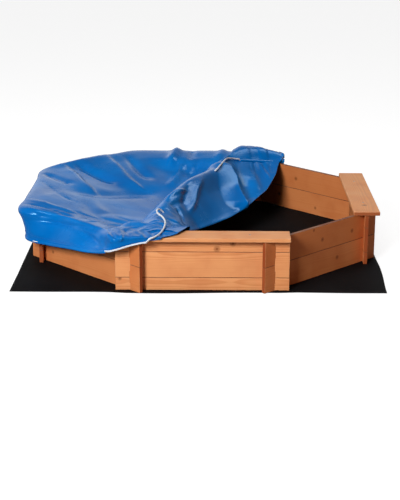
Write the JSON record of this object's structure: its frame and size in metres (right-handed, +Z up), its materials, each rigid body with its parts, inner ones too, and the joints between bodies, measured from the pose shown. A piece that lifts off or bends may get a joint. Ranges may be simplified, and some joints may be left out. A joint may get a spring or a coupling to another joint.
{
  "type": "sandbox with cover",
  "caption": "Octagonal wooden sandbox of interlocking boards with plank seats, a black ground sheet and a blue soft cover that is half turned back.",
  "frame": {"origin": "middle of the octagon, on the underside of the ground sheet, where the sandbox stands on the ground", "axes": "+Z up, -Y towards the front seat, +X towards the right seat"},
  "size_m": [1.4347, 1.4548, 0.2964],
  "materials": {
    "board": "warm reddish-orange stained softwood, satin, with knots and fine straight grain",
    "seat": "the same stained softwood, planed, slightly paler on top",
    "screw": "zinc plated",
    "ground_sheet": "black woven weed-proof sheet, matte",
    "cover": "deep blue coated fabric, semi-gloss, creased",
    "cord": "white braided cord"
  },
  "bodies": {
    "frame": {"front_wall_bottom_board": "board", "front_wall_middle_board": "board", "front_wall_top_board": "board", "front_seat": "seat", "front_seat_screw_1": "screw", "front_seat_screw_2": "screw", "front_right_wall_lower_board": "board", "front_right_wall_upper_board": "board", "right_wall_bottom_board": "board", "right_wall_middle_board": "board", "right_wall_top_board": "board", "right_seat": "seat", "right_seat_screw_1": "screw", "right_seat_screw_2": "screw", "back_right_wall_lower_board": "board", "back_right_wall_upper_board": "board", "back_wall_bottom_board": "board", "back_wall_middle_board": "board", "back_wall_top_board": "board", "back_seat": "seat", "back_seat_screw_1": "screw", "back_seat_screw_2": "screw", "back_left_wall_lower_board": "board", "back_left_wall_upper_board": "board", "left_wall_bottom_board": "board", "left_wall_middle_board": "board", "left_wall_top_board": "board", "left_seat": "seat", "left_seat_screw_1": "screw", "left_seat_screw_2": "screw", "front_left_wall_lower_board": "board", "front_left_wall_upper_board": "board", "ground_sheet": "ground_sheet"},
    "cover": {"cover_sheet": "cover", "cover_folded_part": "cover", "cover_drawstring": "cord"}
  },
  "joints": [
    {"name": "cover_lift", "type": "slide", "parent": "frame", "child": "cover", "axis": [0, 0, 1], "range_m": [0, 0.3]}
  ]
}
